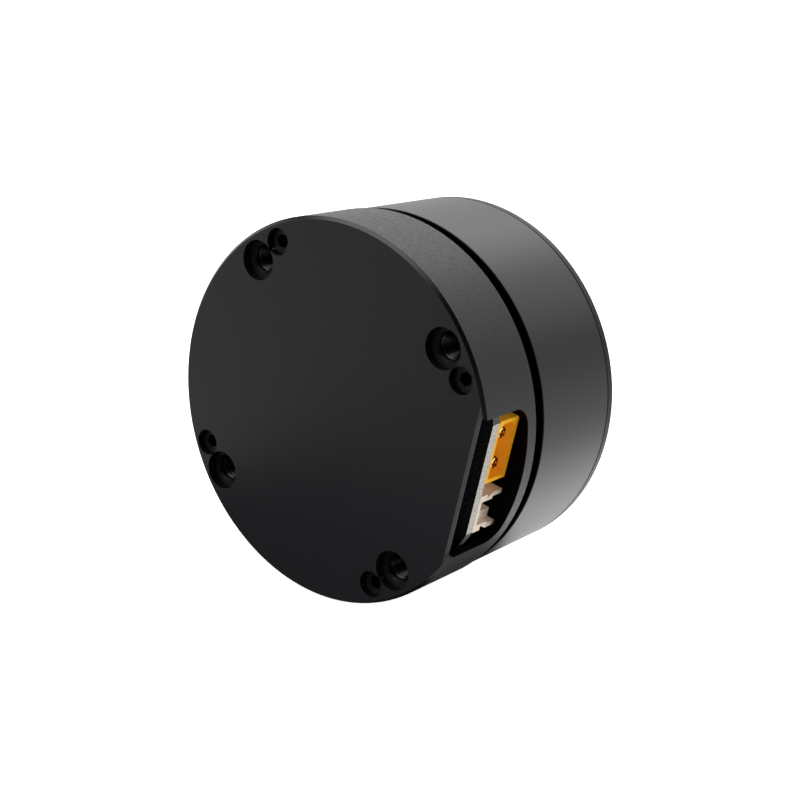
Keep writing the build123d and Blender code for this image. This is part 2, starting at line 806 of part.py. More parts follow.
# Front cover: the output plate, centred in the yoke by its spigot
with BuildPart() as front_cover:
    with BuildSketch(Plane.XY):
        with BuildLine():
            Polyline(
                (shaft_r, cover_inner),
                (yoke_bore_r - cover_fit, cover_inner),
                (yoke_bore_r - cover_fit, yoke_end),
                (rotor_r - edge_break, yoke_end),
                (rotor_r, yoke_end + edge_break),
                (rotor_r, front_face - cover_chamfer),
                (rotor_r - cover_chamfer, front_face),
                (shaft_r, front_face),
                close=True,
            )
        make_face()
    revolve(axis=Axis.Y)
    with BuildSketch(across(front_face)):
        with PolarLocations(output_pcd / 2, output_count, output_angle):
            Circle(output_thread_d / 2)
    extrude(amount=output_thread_depth, mode=Mode.SUBTRACT)
    output_mouths = front_cover.edges().filter_by(GeomType.CIRCLE).filter_by(
        lambda edge: abs(edge.radius - output_thread_d / 2) < same_size
        and abs(edge.center().Y - front_face) < same_size
    )
    chamfer(output_mouths, output_mouth_chamfer)
front_cover.part.label = "front_cover"
export_step(front_cover.part, "parts/front_cover.step")

# Rotor shaft: pressed into the cover, with a collar at the front bearing and a bored rear end
with BuildPart() as rotor_shaft:
    with BuildSketch(Plane.XY):
        with BuildLine():
            Polyline(
                (0, magnet_face + encoder_magnet_length),
                (encoder_magnet_d / 2 + small_fit, magnet_face + encoder_magnet_length),
                (encoder_magnet_d / 2 + small_fit, shaft_rear),
                (shaft_r - shaft_chamfer, shaft_rear),
                (shaft_r, shaft_rear + shaft_chamfer),
                (shaft_r, clip_start),
                (shaft_r - clip_depth, clip_start),
                (shaft_r - clip_depth, washer_start),
                (shaft_r, washer_start),
                (shaft_r, tube_end),
                (shaft_collar_d / 2, tube_end),
                (shaft_collar_d / 2, cover_inner),
                (shaft_r, cover_inner),
                (shaft_r, front_face - shaft_chamfer),
                (shaft_r - shaft_chamfer, front_face),
                (0, front_face),
                close=True,
            )
        make_face()
    revolve(axis=Axis.Y)
rotor_shaft.part.label = "rotor_shaft"
export_step(rotor_shaft.part, "parts/rotor_shaft.step")

with BuildPart() as encoder_magnet:
    with BuildSketch(across(magnet_face)):
        Circle(encoder_magnet_d / 2)
    extrude(amount=-encoder_magnet_length)
encoder_magnet.part.label = "encoder_magnet"
export_step(encoder_magnet.part, "parts/encoder_magnet.step")

# Retaining ring in the groove of the shaft, and the spring washer it holds on the inner ring
with BuildPart() as retaining_ring:
    with BuildSketch(across(clip_start)):
        Circle(clip_outer_d / 2)
        Circle(shaft_r - clip_depth, mode=Mode.SUBTRACT)
        with Locations((clip_outer_d / 2, 0)):
            Rectangle(clip_outer_d, clip_opening, mode=Mode.SUBTRACT)
    extrude(amount=-clip_width)
retaining_ring.part.label = "retaining_ring"
export_step(retaining_ring.part, "parts/retaining_ring.step")

with BuildPart() as spring_washer:
    with BuildSketch(across(washer_start)):
        Circle(washer_outer_d / 2)
        Circle(shaft_r + small_fit, mode=Mode.SUBTRACT)
    extrude(amount=-washer_thickness)
spring_washer.part.label = "spring_washer"
export_step(spring_washer.part, "parts/spring_washer.step")
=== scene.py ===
from math import cos, pi, sin

import bpy
from mathutils import Matrix, Vector


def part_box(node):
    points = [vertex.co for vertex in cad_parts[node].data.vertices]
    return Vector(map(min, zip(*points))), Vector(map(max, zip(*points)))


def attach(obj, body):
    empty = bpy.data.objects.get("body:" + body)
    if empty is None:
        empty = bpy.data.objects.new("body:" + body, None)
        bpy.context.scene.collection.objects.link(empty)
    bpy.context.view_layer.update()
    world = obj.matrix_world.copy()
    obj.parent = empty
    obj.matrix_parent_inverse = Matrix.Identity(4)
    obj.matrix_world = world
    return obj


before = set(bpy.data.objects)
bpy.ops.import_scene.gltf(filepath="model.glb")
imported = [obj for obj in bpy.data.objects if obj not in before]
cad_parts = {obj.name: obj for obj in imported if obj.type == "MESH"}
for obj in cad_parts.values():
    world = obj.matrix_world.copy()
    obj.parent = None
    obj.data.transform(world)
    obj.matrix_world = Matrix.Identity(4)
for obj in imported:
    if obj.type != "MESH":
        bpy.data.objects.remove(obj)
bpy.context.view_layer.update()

# Camera: where the photographer stood, worked out from the ellipses of the rims.
# It looks at the rear face from the right and from above, and is tipped 12 degrees.
camera_place = Vector((0.1240, -0.16358, 0.09117))
camera_right = Vector((0.76177, 0.61676, 0.19827))
camera_up = Vector((-0.39062, 0.19310, 0.90007))
sensor_width = 36.0
focal_pixels = 1466.95
image_pixels = 800.0
camera_data = bpy.data.cameras.new("camera")
camera_data.sensor_width = sensor_width
camera_data.lens = focal_pixels * sensor_width / image_pixels
camera_data.shift_x = -0.4 / image_pixels
camera_data.shift_y = 0.5 / image_pixels
camera_data.clip_start = 0.01
camera_data.clip_end = 20.0
camera = bpy.data.objects.new("camera", camera_data)
bpy.context.collection.objects.link(camera)
camera_back = camera_right.cross(camera_up)
turn = Matrix((camera_right, camera_up, camera_back)).transposed().to_4x4()
camera.matrix_world = Matrix.Translation(camera_place) @ turn
bpy.context.scene.camera = camera
bpy.context.scene.view_settings.view_transform = "Standard"

# Studio: a pale table that the camera sees as plain white, in a room with soft light.
# What the motor mirrors is a room of its own: bright behind and above, dim by the photographer.
floor_half = 6.0
floor_z = -0.0303
room_dim = 0.03
patch_width = 0.75


def make_mesh(name, points, faces, smooth=False):
    """A new object from points in metres and faces of their numbers."""
    mesh = bpy.data.meshes.new(name)
    mesh.from_pydata(points, [], faces)
    mesh.validate()
    mesh.polygons.foreach_set("use_smooth", [smooth] * len(mesh.polygons))
    piece = bpy.data.objects.new(name, mesh)
    bpy.context.collection.objects.link(piece)
    return piece


corners = [(x * floor_half, y * floor_half, floor_z) for x, y in ((-1, -1), (1, -1), (1, 1), (-1, 1))]
table = make_mesh("table", corners, [(0, 1, 2, 3)])
table_paint = bpy.data.materials.new("white_table")
table_paint.use_nodes = True
table_shader = table_paint.node_tree.nodes["Principled BSDF"]
table_shader.inputs["Base Color"].default_value = (0.9, 0.9, 0.9, 1)
table_shader.inputs["Roughness"].default_value = 0.9
table_shader.inputs["Emission Color"].default_value = (1, 1, 1, 1)
table_shader.inputs["Emission Strength"].default_value = 0.9
table.data.materials.append(table_paint)
table.visible_glossy = False
table.visible_diffuse = False

# The table in the shade of the motor, which only the low part of its wall mirrors
shade_low = Vector((-0.034, -0.032))
shade_high = Vector((0.040, 0.043))
shade_notch = Vector((0.029, 0.007))
penumbra_start = 0.0335
penumbra_end = 0.0405
shade_corners = [
    (shade_low.x, shade_low.y, floor_z),
    (shade_notch.x, shade_low.y, floor_z),
    (shade_notch.x, shade_notch.y, floor_z),
    (shade_high.x, shade_notch.y, floor_z),
    (shade_high.x, shade_high.y, floor_z),
    (shade_low.x, shade_high.y, floor_z),
]
shade = make_mesh("table_in_shade", shade_corners, [tuple(range(len(shade_corners)))])
shade_paint = bpy.data.materials.new("shaded_table")
shade_paint.use_nodes = True
shade_tree = shade_paint.node_tree
shade_tree.nodes["Principled BSDF"].inputs["Base Color"].default_value = (0.02, 0.02, 0.02, 1)
shade_tree.nodes["Principled BSDF"].inputs["Specular IOR Level"].default_value = 0.0
shade_tree.nodes["Principled BSDF"].inputs["Emission Color"].default_value = (1, 1, 1, 1)
shade_tree.nodes["Principled BSDF"].inputs["Emission Strength"].default_value = 0.05
shade_place = shade_tree.nodes.new("ShaderNodeTexCoord")
shade_split = shade_tree.nodes.new("ShaderNodeSeparateXYZ")
shade_fade = shade_tree.nodes.new("ShaderNodeMapRange")
shade_fade.interpolation_type = "SMOOTHSTEP"
shade_fade.inputs["From Min"].default_value = penumbra_start
shade_fade.inputs["From Max"].default_value = penumbra_end
shade_fade.inputs["To Min"].default_value = 1.0
shade_fade.inputs["To Max"].default_value = 0.0
shade_tree.links.new(shade_place.outputs["Object"], shade_split.inputs["Vector"])
shade_tree.links.new(shade_split.outputs["Y"], shade_fade.inputs["Value"])
shade_tree.links.new(shade_fade.outputs["Result"], shade_tree.nodes["Principled BSDF"].inputs["Alpha"])
shade.data.materials.append(shade_paint)
shade.visible_camera = False
shade.visible_diffuse = False
shade.visible_shadow = False

world = bpy.data.worlds.new("room")
world.use_nodes = True
bpy.context.scene.world = world
room = world.node_tree
room.nodes.clear()
room_out = room.nodes.new("ShaderNodeOutputWorld")
seen = room.nodes.new("ShaderNodeBackground")
seen.inputs["Color"].default_value = (1, 1, 1, 1)
lit = room.nodes.new("ShaderNodeBackground")
either = room.nodes.new("ShaderNodeMixShader")
path = room.nodes.new("ShaderNodeLightPath")
room.links.new(path.outputs["Is Camera Ray"], either.inputs["Fac"])
room.links.new(lit.outputs[0], either.inputs[1])
room.links.new(seen.outputs[0], either.inputs[2])
room.links.new(either.outputs[0], room_out.inputs["Surface"])
where = room.nodes.new("ShaderNodeTexCoord")


def room_patch(direction, strength):
    """A soft bright patch of the room, round the direction it lies in."""
    aim = room.nodes.new("ShaderNodeVectorMath")
    aim.operation = "DOT_PRODUCT"
    room.links.new(where.outputs["Generated"], aim.inputs[0])
    aim.inputs[1].default_value = Vector(direction).normalized()
    shape = room.nodes.new("ShaderNodeMapRange")
    shape.interpolation_type = "SMOOTHERSTEP"
    room.links.new(aim.outputs["Value"], shape.inputs["Value"])
    shape.inputs["From Min"].default_value = cos(patch_width)
    shape.inputs["From Max"].default_value = 1.0
    shape.inputs["To Min"].default_value = 0.0
    shape.inputs["To Max"].default_value = strength
    return shape.outputs["Result"]


total = None
for direction, strength in (
    ((0.00, 0.71, 0.71), 1.12),
    ((-0.50, 0.50, 0.71), 1.45),
    ((-0.50, -0.50, 0.71), 2.60),
    ((0.95, 0.05, 0.30), 1.20),
    ((0.36, -0.25, -0.90), 0.40),
    ((0.87, 0.50, 0.00), 0.60),
    ((0.87, 0.50, -0.30), 0.45),
    ((0.70, -0.45, -0.60), 0.60),
    ((0.50, 0.87, 0.00), 0.18),
    ((-0.87, 0.50, 0.00), 0.99),
    ((-0.60, -0.80, -0.25), 0.15),
    ((0.50, 0.50, -0.71), 0.85),
    ((0.00, 0.71, -0.71), 1.40),
    ((-0.80, -0.13, -0.66), 1.20),
):
    patch = room_patch(direction, strength)
    if total is None:
        total = patch
    else:
        both = room.nodes.new("ShaderNodeMath")
        both.operation = "ADD"
        room.links.new(total, both.inputs[0])
        room.links.new(patch, both.inputs[1])
        total = both.outputs[0]
level = room.nodes.new("ShaderNodeMath")
level.operation = "ADD"
room.links.new(total, level.inputs[0])
level.inputs[1].default_value = room_dim
room.links.new(level.outputs[0], lit.inputs["Strength"])
lit.inputs["Color"].default_value = (1.0, 0.985, 0.98, 1)

# Rear housing: an aluminium cup turned from bar, bead blasted outside and anodised black.
# Its holes, window and edges are milled after the blasting, and the rim bevel is smoother. The walls of the
# holes and the window and the rim bevel are painted near black as painted shade, and the thin bevel along
# the flat is painted a lighter grey as a painted highlight.
face_edge = 0.00012
rim_bevel_y = 0.00048
rim_bevel_r = 0.02972
flat_bevel_x = 0.02668
flat_bevel_y = 0.00044
flat_start_x = 0.0266
flat_lip_y = 0.0006
window_reach_z = 0.0135
inside_r = 0.0295
wall_inside_r = 0.0301


def new_finish(name, colour, roughness, metal=0.0, shine=0.5):
    """A material with one even base, for the grain and wear that follow."""
    material = bpy.data.materials.new(name)
    material.use_nodes = True
    shader = material.node_tree.nodes["Principled BSDF"]
    shader.inputs["Base Color"].default_value = (*colour, 1)
    shader.inputs["Roughness"].default_value = roughness
    shader.inputs["Metallic"].default_value = metal
    shader.inputs["Specular IOR Level"].default_value = shine
    return material


def noise_of(material, size, detail=2.0, stretch=(1, 1, 1)):
    """Noise in the piece's own coordinates, its grains about size metres across."""
    tree = material.node_tree
    place = tree.nodes.new("ShaderNodeTexCoord")
    spread = tree.nodes.new("ShaderNodeMapping")
    spread.inputs["Scale"].default_value = stretch
    noise = tree.nodes.new("ShaderNodeTexNoise")
    noise.inputs["Scale"].default_value = 1 / size
    noise.inputs["Detail"].default_value = detail
    tree.links.new(place.outputs["Object"], spread.inputs["Vector"])
    tree.links.new(spread.outputs["Vector"], noise.inputs["Vector"])
    return noise.outputs["Fac"]


def roughen(material, height_source, depth, strength=1.0):
    """Raises the surface by the source, up to depth metres, on top of what raised it before."""
    tree = material.node_tree
    shader = tree.nodes["Principled BSDF"]
    bump = tree.nodes.new("ShaderNodeBump")
    bump.inputs["Distance"].default_value = depth
    bump.inputs["Strength"].default_value = strength
    tree.links.new(height_source, bump.inputs["Height"])
    if shader.inputs["Normal"].is_linked:
        tree.links.new(shader.inputs["Normal"].links[0].from_socket, bump.inputs["Normal"])
    tree.links.new(bump.outputs["Normal"], shader.inputs["Normal"])


def vary(material, source, socket, low, high, start=0.3, end=0.7):
    """Lets a number or a colour of the finish run from low to high with the source."""
    tree = material.node_tree
    shader = tree.nodes["Principled BSDF"]
    if isinstance(low, tuple):
        ramp = tree.nodes.new("ShaderNodeValToRGB")
        ramp.color_ramp.elements[0].position = start
        ramp.color_ramp.elements[1].position = end
        ramp.color_ramp.elements[0].color = (*low, 1)
        ramp.color_ramp.elements[1].color = (*high, 1)
        tree.links.new(source, ramp.inputs["Fac"])
        tree.links.new(ramp.outputs["Color"], shader.inputs[socket])
        return
    span = tree.nodes.new("ShaderNodeMapRange")
    span.inputs["From Min"].default_value = start
    span.inputs["From Max"].default_value = end
    span.inputs["To Min"].default_value = low
    span.inputs["To Max"].default_value = high
    tree.links.new(source, span.inputs["Value"])
    tree.links.new(span.outputs["Result"], shader.inputs[socket])


def true_round(material, radius):
    """Takes the facing of a round wall from its distance to the axis, so that it has no facets or seam."""
    tree = material.node_tree
    place = tree.nodes.new("ShaderNodeTexCoord")
    flat = tree.nodes.new("ShaderNodeVectorMath")
    flat.operation = "MULTIPLY"
    flat.inputs[1].default_value = (1, 0, 1)
    tree.links.new(place.outputs["Object"], flat.inputs[0])
    reach = tree.nodes.new("ShaderNodeVectorMath")
    reach.operation = "LENGTH"
    tree.links.new(flat.outputs["Vector"], reach.inputs[0])
    on_wall = tree.nodes.new("ShaderNodeMath")
    on_wall.operation = "GREATER_THAN"
    tree.links.new(reach.outputs["Value"], on_wall.inputs[0])
    on_wall.inputs[1].default_value = radius - 0.00002
    outwards = tree.nodes.new("ShaderNodeVectorTransform")
    outwards.vector_type = "NORMAL"
    outwards.convert_from = "OBJECT"
    outwards.convert_to = "WORLD"
    tree.links.new(flat.outputs["Vector"], outwards.inputs["Vector"])
    facing = tree.nodes.new("ShaderNodeMix")
    facing.data_type = "VECTOR"
    tree.links.new(on_wall.outputs[0], facing.inputs["Factor"])
    tree.links.new(tree.nodes.new("ShaderNodeNewGeometry").outputs["Normal"], facing.inputs[4])
    tree.links.new(outwards.outputs["Vector"], facing.inputs[5])
    tree.links.new(facing.outputs[1], tree.nodes["Principled BSDF"].inputs["Normal"])


def paint_shade_past(material, level, rearward):
    """Paints shade: makes a piece near black on one side of a level along the shaft, where the light doesn't reach."""
    tree = material.node_tree
    shader = tree.nodes["Principled BSDF"]
    place = tree.nodes.new("ShaderNodeTexCoord")
    split = tree.nodes.new("ShaderNodeSeparateXYZ")
    tree.links.new(place.outputs["Object"], split.inputs["Vector"])
    past = tree.nodes.new("ShaderNodeMath")
    past.operation = "LESS_THAN" if rearward else "GREATER_THAN"
    tree.links.new(split.outputs["Y"], past.inputs[0])
    past.inputs[1].default_value = level
    dark = tree.nodes.new("ShaderNodeMix")
    dark.data_type = "RGBA"
    tree.links.new(past.outputs[0], dark.inputs["Factor"])
    if shader.inputs["Base Color"].is_linked:
        tree.links.new(shader.inputs["Base Color"].links[0].from_socket, dark.inputs[6])
    else:
        dark.inputs[6].default_value = shader.inputs["Base Color"].default_value
    dark.inputs[7].default_value = (0.001, 0.001, 0.0012, 1)
    tree.links.new(dark.outputs[2], shader.inputs["Base Color"])
    shine = tree.nodes.new("ShaderNodeMapRange")
    tree.links.new(past.outputs[0], shine.inputs["Value"])
    shine.inputs["To Min"].default_value = shader.inputs["Specular IOR Level"].default_value
    shine.inputs["To Max"].default_value = 0.03
    tree.links.new(shine.outputs["Result"], shader.inputs["Specular IOR Level"])


def dress(material, *nodes):
    """Gives these pieces of the frame their finish."""
    for node in nodes:
        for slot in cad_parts[node].material_slots:
            slot.material = material


blasted = new_finish("blasted_black_anodising", (0.011, 0.0125, 0.015), 0.48, shine=0.5)
blast_tree = blasted.node_tree
blast_shader = blast_tree.nodes["Principled BSDF"]


def housing_sum(operation, first, second):
    """One step of arithmetic in the housing's finish."""
    step = blast_tree.nodes.new("ShaderNodeMath")
    step.operation = operation
    for socket, value in zip(step.inputs, (first, second)):
        if isinstance(value, float):
            socket.default_value = value
        else:
            blast_tree.links.new(value, socket)
    return step.outputs[0]


blast_place = blast_tree.nodes.new("ShaderNodeTexCoord")
blast_split = blast_tree.nodes.new("ShaderNodeSeparateXYZ")
blast_tree.links.new(blast_place.outputs["Object"], blast_split.inputs["Vector"])
at_x, at_y, at_z = (blast_split.outputs[axis] for axis in "XYZ")
across_squared = housing_sum("ADD", housing_sum("MULTIPLY", at_x, at_x), housing_sum("MULTIPLY", at_z, at_z))
blast_facing = blast_tree.nodes.new("ShaderNodeSeparateXYZ")
blast_tree.links.new(blast_place.outputs["Normal"], blast_facing.inputs["Vector"])
# Masks of the hole walls, the window and the rim bevel, where shade is painted, and of the flat's bevel, where a
# highlight is painted.
below_face = housing_sum("GREATER_THAN", at_y, face_edge)
not_rearward = housing_sum("GREATER_THAN", blast_facing.outputs["Y"], -0.85)
off_flat = housing_sum("LESS_THAN", at_x, flat_start_x)
holes_painted_shade = housing_sum("MULTIPLY", housing_sum("MULTIPLY", below_face, off_flat),
                       housing_sum("LESS_THAN", across_squared, inside_r ** 2))
holes_painted_shade = housing_sum("MULTIPLY", holes_painted_shade, not_rearward)
window_painted_shade = housing_sum("MULTIPLY", housing_sum("GREATER_THAN", at_y, flat_lip_y),
                        housing_sum("LESS_THAN", across_squared, wall_inside_r ** 2))
window_painted_shade = housing_sum("MULTIPLY", window_painted_shade,
                        housing_sum("LESS_THAN", housing_sum("ABSOLUTE", at_z, 0.0), window_reach_z))
rim_painted_shade = housing_sum("MULTIPLY", housing_sum("LESS_THAN", at_y, rim_bevel_y),
                     housing_sum("GREATER_THAN", across_squared, rim_bevel_r ** 2))
# Painted highlight: the thin bevel along the flat.
flat_painted_highlight = housing_sum("MULTIPLY", housing_sum("GREATER_THAN", at_x, flat_bevel_x),
                      housing_sum("LESS_THAN", at_y, flat_bevel_y))
flat_painted_highlight = housing_sum("MULTIPLY", flat_painted_highlight, housing_sum("LESS_THAN", across_squared, rim_bevel_r ** 2))

blast_grain = noise_of(blasted, 0.00022, 3.0)
blast_ramp = blast_tree.nodes.new("ShaderNodeValToRGB")
blast_ramp.color_ramp.elements[0].position = 0.3
blast_ramp.color_ramp.elements[1].position = 0.7
blast_ramp.color_ramp.elements[0].color = (0.0065, 0.008, 0.0105, 1)
blast_ramp.color_ramp.elements[1].color = (0.0175, 0.0195, 0.0225, 1)
blast_tree.links.new(blast_grain, blast_ramp.inputs["Fac"])
blast_colour = blast_ramp.outputs["Color"]
blast_shine = 0.5
# Painted shade: the walls of the holes and the window and the rim bevel are painted near black with less shine.
# Painted highlight: the flat's bevel is painted a lighter grey.
for region, colour, shine in (
    (holes_painted_shade, (0.0015, 0.0018, 0.003), 0.16),
    (window_painted_shade, (0.0015, 0.0018, 0.003), 0.03),
    (rim_painted_shade, (0.0012, 0.0015, 0.0022), 0.5),
    (flat_painted_highlight, (0.055, 0.057, 0.062), 0.5),
):
    painted = blast_tree.nodes.new("ShaderNodeMix")
    painted.data_type = "RGBA"
    blast_tree.links.new(region, painted.inputs["Factor"])
    blast_tree.links.new(blast_colour, painted.inputs[6])
    painted.inputs[7].default_value = (*colour, 1)
    blast_colour = painted.outputs[2]
    shined = blast_tree.nodes.new("ShaderNodeMix")
    blast_tree.links.new(region, shined.inputs["Factor"])
    if isinstance(blast_shine, float):
        shined.inputs["A"].default_value = blast_shine
    else:
        blast_tree.links.new(blast_shine, shined.inputs["A"])
    shined.inputs["B"].default_value = shine
    blast_shine = shined.outputs[0]
blast_tree.links.new(blast_colour, blast_shader.inputs["Base Color"])
blast_tree.links.new(blast_shine, blast_shader.inputs["Specular IOR Level"])
vary(blasted, noise_of(blasted, 0.0004, 4.0), "Roughness", 0.38, 0.56)
rim_rough = blast_tree.nodes.new("ShaderNodeMix")
blast_tree.links.new(rim_painted_shade, rim_rough.inputs["Factor"])
blast_tree.links.new(blast_shader.inputs["Roughness"].links[0].from_socket, rim_rough.inputs["A"])
rim_rough.inputs["B"].default_value = 0.22
blast_tree.links.new(rim_rough.outputs[0], blast_shader.inputs["Roughness"])
true_round(blasted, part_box("rear_housing")[1][2])
roughen(blasted, blast_grain, 0.00002, 0.35)
dress(blasted, "rear_housing")

# Threads of the four mounting holes, cut with a tap after the blasting. Their flanks are painted darker than the face
# as painted shade down in the hole, and their crests lighter as painted highlights.
# Each lining is one helical groove with flanks at 60 degrees, from the mouth down to the drill's end.
hole_circle = 0.052 / 2
thread_major_r = 0.00199
thread_minor_r = 0.00166
thread_pitch = 0.0007
thread_start = 0.00185
thread_end = 0.0092
thread_steps = 48


def make_thread(name, centre_x, centre_z):
    """A helical lining for one tapped hole, which sinks along +Y."""
    turns = (thread_end - thread_start) / thread_pitch
    profile = ((0.0, thread_major_r), (0.125, thread_major_r), (0.45, thread_minor_r), (0.675, thread_minor_r))
    points, faces = [], []
    rings = int(turns * thread_steps)
    for k in range(rings + 1):
        angle = 2 * pi * k / thread_steps
        rise = thread_start + thread_pitch * k / thread_steps
        for part, radius in (*profile, (1.0, thread_major_r)):
            points.append((centre_x + radius * cos(angle), rise + part * thread_pitch, centre_z + radius * sin(angle)))
    wide = len(profile) + 1
    for k in range(rings):
        for j in range(wide - 1):
            a = k * wide + j
            faces.append((a, a + wide, a + wide + 1, a + 1))
    return make_mesh(name, points, faces, smooth=False)


# Painted shade on the dark flanks, painted highlights on the lighter crests.
flank_painted_shade = new_finish("thread_flank_painted_shade", (0.004, 0.004, 0.006), 0.22, shine=0.3)
vary(flank_painted_shade, noise_of(flank_painted_shade, 0.00015, 2.0), "Roughness", 0.14, 0.30)
crest_painted_highlight = new_finish("thread_crest_painted_highlight", (0.05, 0.05, 0.055), 0.25, metal=0.3)
vary(crest_painted_highlight, noise_of(crest_painted_highlight, 0.0002, 2.0), "Roughness", 0.18, 0.34)
crest_part = 2
for k in range(4):
    angle = pi / 4 + k * pi / 2
    thread = make_thread(f"mounting_thread_{k + 1}", hole_circle * cos(angle), hole_circle * sin(angle))
    thread.data.materials.append(flank_painted_shade)
    thread.data.materials.append(crest_painted_highlight)
    crests = [int(i % 4 == crest_part) for i in range(len(thread.data.polygons))]
    thread.data.polygons.foreach_set("material_index", crests)
    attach(thread, "stator")

# Screws that hold the housing to the stator base: alloy steel, cold headed, black oxide with oil.
screw_black = new_finish("black_oxide", (0.017, 0.018, 0.021), 0.40, metal=0.2)
vary(screw_black, noise_of(screw_black, 0.0003, 3.0), "Roughness", 0.28, 0.5)
roughen(screw_black, noise_of(screw_black, 0.00012, 2.0), 0.000008, 0.3)
# Painted shade: all but the top 0.2 mm of each screw, down in its counterbore, is painted near black.
paint_shade_past(screw_black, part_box("housing_screws")[0][1] + 0.0002, rearward=False)
dress(screw_black, "housing_screws")

# Screws of the board, retaining ring and spring washer: the same black oxide, inside the motor.
inner_black = new_finish("inner_black_oxide", (0.017, 0.018, 0.021), 0.40, metal=0.2)
vary(inner_black, noise_of(inner_black, 0.0003, 3.0), "Roughness", 0.28, 0.5)
dress(inner_black, "board_screws", "retaining_ring", "spring_washer")

# Driver board: glass fibre laminate under black solder mask, routed out of a panel.
# Its flat edge, broken off along a score line, shows the bare woven glass, and its round rim is darker.
board = new_finish("board_laminate", (0.80, 0.78, 0.70), 0.7)
board_tree = board.node_tree
board_shader = board_tree.nodes["Principled BSDF"]
board_place = board_tree.nodes.new("ShaderNodeTexCoord")
board_facing = board_tree.nodes.new("ShaderNodeSeparateXYZ")
board_tree.links.new(board_place.outputs["Normal"], board_facing.inputs["Vector"])


def part_of_board(axis, floor):
    """One where the board faces along an axis by more than floor, and nothing elsewhere."""
    size = board_tree.nodes.new("ShaderNodeMath")
    size.operation = "ABSOLUTE"
    board_tree.links.new(board_facing.outputs[axis], size.inputs[0])
    over = board_tree.nodes.new("ShaderNodeMath")
    over.operation = "GREATER_THAN"
    board_tree.links.new(size.outputs[0], over.inputs[0])
    over.inputs[1].default_value = floor
    return over.outputs[0]


def speckle(dark, light, source, start, end):
    """A colour that runs from dark to light with the source."""
    ramp = board_tree.nodes.new("ShaderNodeValToRGB")
    ramp.color_ramp.elements[0].position = start
    ramp.color_ramp.elements[1].position = end
    ramp.color_ramp.elements[0].color = (*dark, 1)
    ramp.color_ramp.elements[1].color = (*light, 1)
    board_tree.links.new(source, ramp.inputs["Fac"])
    return ramp.outputs["Color"]


def either_colour(share, plain, other, socket):
    """Takes the other colour where share is one."""
    mix = board_tree.nodes.new("ShaderNodeMix")
    mix.data_type = "RGBA"
    board_tree.links.new(share, mix.inputs["Factor"])
    board_tree.links.new(plain, mix.inputs[6])
    board_tree.links.new(other, mix.inputs[7])
    if socket:
        board_tree.links.new(mix.outputs[2], board_shader.inputs[socket])
    return mix.outputs[2]


weave = noise_of(board, 0.00035, 5.0, stretch=(1, 2.5, 1))
bare_edge = speckle((0.34, 0.325, 0.285), (0.74, 0.715, 0.655), weave, 0.36, 0.60)
dark_rim = speckle((0.05, 0.055, 0.045), (0.16, 0.17, 0.14), weave, 0.40, 0.65)
mask_black = speckle((0.002, 0.002, 0.003), (0.07, 0.07, 0.075), noise_of(board, 0.00022, 1.0), 0.58, 0.70)
side = either_colour(part_of_board("X", 0.95), dark_rim, bare_edge, None)
either_colour(part_of_board("Y", 0.5), side, mask_black, "Base Color")
roughen(board, weave, 0.00005, 0.45)
dress(board, "driver_board")

# Chips, transistors and capacitors: moulded black epoxy, with a dull sandy top.
chip_black = new_finish("moulded_epoxy", (0.018, 0.018, 0.019), 0.6)
roughen(chip_black, noise_of(chip_black, 0.00006, 2.0), 0.000006, 0.5)
vary(chip_black, noise_of(chip_black, 0.001, 3.0), "Roughness", 0.52, 0.68)
dress(chip_black, "encoder_chip", "controller_chip", "gate_driver", "power_transistors", "transceiver_chips",
      "bulk_capacitors")

# Power connector: a shell moulded in amber nylon, with two gilt bullet pins. Light soaks a little through
# the thin walls, and a faint glow of its own is painted light that lifts it in the shade of the window.
amber = new_finish("amber_nylon", (0.98, 0.47, 0.02), 0.34, shine=0.18)
vary(amber, noise_of(amber, 0.0012, 3.0), "Base Color", (0.96, 0.44, 0.014), (1.0, 0.50, 0.026))
# Painted light: a faint amber glow.
amber.node_tree.nodes["Principled BSDF"].inputs["Emission Color"].default_value = (1.0, 0.46, 0.03, 1)
amber.node_tree.nodes["Principled BSDF"].inputs["Emission Strength"].default_value = 0.13
roughen(amber, noise_of(amber, 0.0002, 2.0), 0.00001, 0.25)
amber.node_tree.nodes["Principled BSDF"].inputs["Subsurface Weight"].default_value = 0.15
amber.node_tree.nodes["Principled BSDF"].inputs["Subsurface Scale"].default_value = 0.0006
dress(amber, "power_connector")

gilt = new_finish("gold_plate", (0.83, 0.60, 0.26), 0.2, metal=1.0)
vary(gilt, noise_of(gilt, 0.0003, 3.0), "Roughness", 0.12, 0.32)
dress(gilt, "power_pins", "signal_pins")

# Signal connector: a header moulded in cream nylon, given a faint glow of its own as painted light, like the power
# connector.
cream = new_finish("cream_nylon", (0.87, 0.75, 0.62), 0.5)
vary(cream, noise_of(cream, 0.0009, 3.0), "Base Color", (0.82, 0.69, 0.56), (0.92, 0.81, 0.69))
# Painted light: a faint cream glow.
cream.node_tree.nodes["Principled BSDF"].inputs["Emission Color"].default_value = (1.0, 0.80, 0.62, 1)
cream.node_tree.nodes["Principled BSDF"].inputs["Emission Strength"].default_value = 0.05
roughen(cream, noise_of(cream, 0.00025, 2.0), 0.00001, 0.3)
dress(cream, "signal_connector")

# Stator base: turned aluminium, anodised black, seen only at the bottom of the running gap, where it is painted near
# black with almost no shine as painted shade.
turned = new_finish("turned_anodising_painted_shade", (0.0008, 0.0008, 0.001), 0.4, shine=0.03)
vary(turned, noise_of(turned, 0.0002, 2.0), "Roughness", 0.34, 0.5)
dress(turned, "stator_base")

